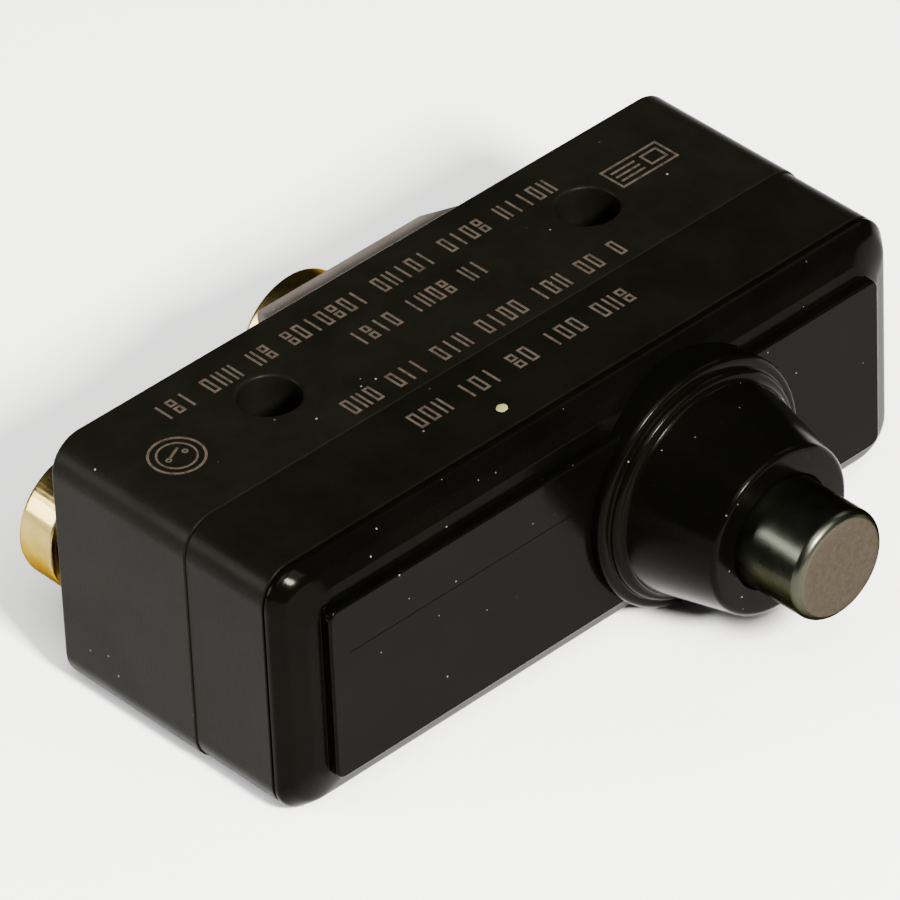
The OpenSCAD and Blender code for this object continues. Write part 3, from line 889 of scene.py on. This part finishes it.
def makeScrew(name, node, look, turn):
    low, high = (Vector(v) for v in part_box(node))
    x = (low.x + high.x) / 2
    headY = high.y - look["height"]
    radius = look["head"] / 2
    dome = look["height"] - look["rim"]
    ball = (radius * radius + dome * dome) / (2 * dome)
    edge = look["rimRound"]
    rimY = headY + look["rim"]
    profile = [(0, headY), (radius - edge, headY), (radius - edge * 0.3, headY + edge * 0.3)]
    profile += [(radius, headY + edge), (radius, rimY - edge), (radius - edge * 0.25, rimY - edge * 0.2)]
    widest = math.asin((radius - edge * 1.1) / ball)
    for i in range(13):
        angle = widest * (1 - i / 12)
        profile.append((ball * math.sin(angle), high.y - ball + ball * math.cos(angle)))
    bm = bmesh.new()
    lathe(bm, profile, x, midZ, 96)
    piece = meshObject(name, bm)
    bm = bmesh.new()
    half = look["slotWidth"] / 2
    boxInto(bm, (-radius * 1.2, high.y - look["slotDepth"], -half), (radius * 1.2, high.y + 1 * mm, half))
    bm.transform(Matrix.Translation((x, 0, midZ)) @ Matrix.Rotation(math.radians(turn), 4, "Y"))
    cut(piece, meshObject("slot", bm))
    softenEdges(piece, 0.07 * mm, 45)
    bm = bmesh.new()
    threadedShank(bm, look, x, headY)
    cut(piece, meshObject("shank", bm), "UNION")
    shade(piece, 38)
    return place(piece, "housing", "screw", "screw_brass", [node])


makeScrew("closedScrew", "closed_screw", screwLook, 86)
makeScrew("commonScrew", "common_screw", screwLook, -40)
makeScrew("openScrew", "open_screw", screwLook, 12)
print("terminal screws made")


# grey insulator block under the centre terminal

blockLook = dict(
    lean=0.5 * mm, slope=6.0 * mm, holeRadius=2.1 * mm, edge=0.18 * mm,
    slotLow=-6.08 * mm, slotHigh=-4.92 * mm, slotHalf=2.58 * mm,
)


def makeBlock(look):
    inset = blockLow.z
    bm = bmesh.new()
    outline = [
        (blockLow.x, blockLow.y), (blockHigh.x, blockLow.y),
        (blockHigh.x - look["slope"], blockHigh.y), (blockLow.x + look["lean"], blockHigh.y),
    ]
    lower = [bm.verts.new((x, y, inset)) for x, y in outline]
    upper = [bm.verts.new((x, y, topZ - inset)) for x, y in outline]
    bridge(bm, lower, upper)
    bm.faces.new(lower)
    bm.faces.new(upper)
    bmesh.ops.recalc_face_normals(bm, faces=bm.faces)
    piece = meshObject("centreInsulator", bm)
    bm = bmesh.new()
    y0, y1 = blockLow.y - 1 * mm, blockHigh.y + 1 * mm
    rod(bm, look["holeRadius"], y0, y1, 0, midZ, 48)
    slotZ = look["slotHalf"]
    boxInto(bm, (look["slotLow"], y0, midZ - slotZ), (look["slotHigh"], y1, midZ + slotZ))
    cut(piece, meshObject("blockCutter", bm))
    softenEdges(piece, look["edge"], 30, 3)
    shade(piece)
    return place(piece, "housing", "block", "insulator_grey", ["centre_insulator"])


makeBlock(blockLook)
print("insulator made")


# paint dot and printed marks

markLook = dict(proud=0.018 * mm, sunk=0.012 * mm, stroke=0.16 * mm, height=1.45 * mm)
ringMark = dict(x=-20.2 * mm, y=-0.4 * mm, outer=1.75 * mm, inner=1.25 * mm)
plateMark = dict(x=17.7 * mm, y=0.75 * mm, width=4.6 * mm, height=2.1 * mm)
paintDot = dict(x=-4.26 * mm, y=-10.42 * mm, radius=0.36 * mm, height=0.05 * mm)


def prism(bm, outline, top):
    lower = [bm.verts.new((x, y, top - markLook["sunk"])) for x, y in outline]
    upper = [bm.verts.new((x, y, top + markLook["proud"])) for x, y in outline]
    bridge(bm, lower, upper)
    bm.faces.new(lower)
    bm.faces.new(upper)


def bar(bm, x, y, width, height, top, turn=0.0):
    cos, sin = math.cos(turn), math.sin(turn)
    outline = []
    for a, b in ((-1, -1), (1, -1), (1, 1), (-1, 1)):
        dx, dy = a * width / 2, b * height / 2
        outline.append((x + dx * cos - dy * sin, y + dx * sin + dy * cos))
    prism(bm, outline, top)


def hoop(bm, x, y, outer, inner, top, steps=48):
    heights = (top - markLook["sunk"], top + markLook["proud"])
    rings = []
    for radius, z in ((outer, heights[0]), (outer, heights[1]), (inner, heights[1]), (inner, heights[0])):
        circle = arcPoints(x, y, radius, 0, 360 * (steps - 1) / steps, steps - 1)
        rings.append([bm.verts.new((a, b, z)) for a, b in circle])
    for first, second in zip(rings, rings[1:] + rings[:1]):
        bridge(bm, first, second)


def frameMark(bm, x, y, width, height, top):
    stroke = markLook["stroke"]
    for side in (-1, 1):
        bar(bm, x, y + side * (height - stroke) / 2, width, stroke, top)
        bar(bm, x + side * (width - stroke) / 2, y, stroke, height - 2 * stroke, top)


def markRow(name, start, stop, y, top, groups, rng):
    bm = bmesh.new()
    stroke = markLook["stroke"]
    tall = markLook["height"]
    step = (stop - start) / (sum(groups) + len(groups) - 1)
    wide = abs(step) * 0.62
    x = start + step / 2
    for count in groups:
        for _ in range(count):
            form = rng.choice(("cell", "twin", "stack", "cell", "bar"))
            if form == "bar":
                bar(bm, x, y, stroke, tall, top)
            elif form == "twin":
                for side in (-1, 1):
                    bar(bm, x + side * (wide - stroke) / 2, y, stroke, tall, top)
            elif form == "stack":
                for side in (-1, 1):
                    frameMark(bm, x, y + side * tall * 0.27, wide, tall * 0.44, top)
            else:
                frameMark(bm, x, y, wide, tall, top)
            x += step
        x += step
    bmesh.ops.recalc_face_normals(bm, faces=bm.faces)
    return place(meshObject(name, bm), "housing", "ink")


def makeMarks():
    rng = random.Random(7)
    caseTop = caseHigh.z
    markRow("markRowA", 8.6 * mm, -8.9 * mm, -7.8 * mm, caseTop, (3, 3, 2, 3, 3), rng)
    markRow("markRowB", 11.4 * mm, -10.7 * mm, -4.2 * mm, topZ, (1, 2, 3, 4, 3, 3, 3), rng)
    markRow("markRowC", 4.5 * mm, -5.9 * mm, 0.2 * mm, topZ, (2, 4, 4), rng)
    markRow("markRowD", 12.8 * mm, -18.5 * mm, 3.1 * mm, topZ, (5, 4, 5, 7, 2, 3, 3), rng)


def makeRingMark(look):
    bm = bmesh.new()
    stroke = markLook["stroke"]
    x, y = look["x"], look["y"]
    hoop(bm, x, y, look["outer"], look["outer"] - stroke, topZ)
    hoop(bm, x, y, look["inner"], look["inner"] - stroke * 0.8, topZ)
    for side in (-1, 1):  # a plain contact sign: two posts and a leaning arm
        hoop(bm, x + side * 0.62 * mm, y, 0.2 * mm, 0.08 * mm, topZ, 20)
    bar(bm, x + 0.02 * mm, y + 0.3 * mm, 1.1 * mm, stroke, topZ, math.radians(24))
    bmesh.ops.recalc_face_normals(bm, faces=bm.faces)
    return place(meshObject("ringMark", bm), "housing", "ink")


def makePlateMark(look):
    bm = bmesh.new()
    stroke = markLook["stroke"]
    x, y, width, height = look["x"], look["y"], look["width"], look["height"]
    frameMark(bm, x, y, width, height, topZ)
    frameMark(bm, x + width * 0.26, y, width * 0.3, height * 0.55, topZ)
    for k in (-1, 0, 1):
        bar(bm, x - width * 0.2, y + k * height * 0.22, width * 0.42, stroke, topZ)
    bmesh.ops.recalc_face_normals(bm, faces=bm.faces)
    return place(meshObject("plateMark", bm), "housing", "ink")


def makePaintDot(look):
    bm = bmesh.new()
    top = caseHigh.z
    steps = 28
    rings = []
    for share, rise in ((1, -0.3), (1, 0.15), (0.88, 0.62), (0.6, 0.92)):
        ring = []
        for i in range(steps):
            angle = 2 * math.pi * i / steps
            wobble = 1 + 0.07 * math.sin(2 * angle + 0.6) + 0.04 * math.sin(5 * angle)
            radius = look["radius"] * share * wobble
            x = look["x"] + radius * math.cos(angle)
            y = look["y"] + radius * math.sin(angle)
            ring.append(bm.verts.new((x, y, top + look["height"] * rise)))
        rings.append(ring)
    for first, second in zip(rings, rings[1:]):
        bridge(bm, first, second)
    bm.faces.new(rings[0])
    bm.faces.new(rings[-1])
    bmesh.ops.recalc_face_normals(bm, faces=bm.faces)
    piece = meshObject("paintDot", bm)
    shade(piece, 50)
    return place(piece, "housing", "dot")


makeMarks()
makeRingMark(ringMark)
makePlateMark(plateMark)
makePaintDot(paintDot)
print("marks made")


# CAD nodes that keep their shape and only get a finish

kept = {
    "common_terminal": "strip", "open_terminal": "strip", "closed_terminal": "strip",
    "common_washer": "screw", "open_washer": "screw", "closed_washer": "screw",
    "case_screws": "zinc", "blade_anchor": "strip", "anchor_rivet": "steel",
    "open_contact": "silver", "closed_contact": "silver", "snap_blade": "blade", "moving_contact": "silver",
    "retaining_ring": "steel",
    "inner_pin": "pin", "spring_seat": "steel",
}
for node, material in kept.items():
    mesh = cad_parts[node].data
    for index in range(len(mesh.materials)):
        mesh.materials[index] = materials[material]
print("carried-over nodes painted:", len(kept))


# floor and lights

floorLook = dict(
    size=3.0, drop=0.02 * mm, colour=(0.86, 0.86, 0.85), deeper=(0.82, 0.82, 0.81), roughness=0.6,
)


def makeFloor(look):
    material, tree, shader = newMaterial("paleFloor")
    cloud = noise(tree, objectCoords(tree), 6, 3)
    colour = ramp(tree, cloud, [(0.3, look["deeper"]), (0.7, look["colour"])])
    tree.links.new(colour, shader.inputs["Base Color"])
    shader.inputs["Roughness"].default_value = look["roughness"]
    shader.inputs["Specular IOR Level"].default_value = 0.2
    bm = bmesh.new()
    bmesh.ops.create_grid(bm, x_segments=4, y_segments=4, size=look["size"] / 2)
    bmesh.ops.translate(bm, verts=bm.verts, vec=(0, 0, boundsLow.z - look["drop"]))
    floor = meshObject("floor", bm)
    floor.data.materials.append(material)


lights = [
    dict(
        name="keyBox", azimuth=-12, elevation=37, distance=0.6,
        size=0.09, power=27.0, colour=(1, 0.98, 0.94),
    ),
    dict(
        name="cameraSoft", azimuth=-42, elevation=62, distance=0.9,
        size=0.5, power=14.0, colour=(1, 0.99, 0.97),
    ),
    dict(
        name="frontWide", azimuth=15, elevation=50, distance=0.75,
        size=0.25, power=2.5, colour=(1, 1, 1),
    ),
    dict(
        name="backBox", azimuth=-128, elevation=18, distance=0.7,
        size=0.26, power=8.0, colour=(0.95, 0.97, 1),
    ),
    dict(
        name="rightFill", azimuth=80, elevation=45, distance=0.8,
        size=0.3, power=1.6, colour=(1, 1, 1),
    ),
]
worldLook = dict(colour=(0.9, 0.93, 1, 1), strength=0.06)


def placeLight(look):
    data = bpy.data.lights.new(look["name"], "AREA")
    data.shape = "SQUARE"
    data.size = look["size"]
    data.energy = look["power"]
    data.color = look["colour"]
    back = outward(look)
    lamp = bpy.data.objects.new(look["name"], data)
    scene.collection.objects.link(lamp)
    target = (boundsLow + boundsHigh) / 2
    lamp.location = target + back * look["distance"]
    lamp.rotation_euler = back.to_track_quat("Z", "Y").to_euler()


def makeWorld(look):
    world = bpy.data.worlds.new("studio")
    world.use_nodes = True
    background = world.node_tree.nodes["Background"]
    background.inputs["Color"].default_value = look["colour"]
    background.inputs["Strength"].default_value = look["strength"]
    scene.world = world


makeFloor(floorLook)
for look in lights:
    placeLight(look)
makeWorld(worldLook)
print("stage set")
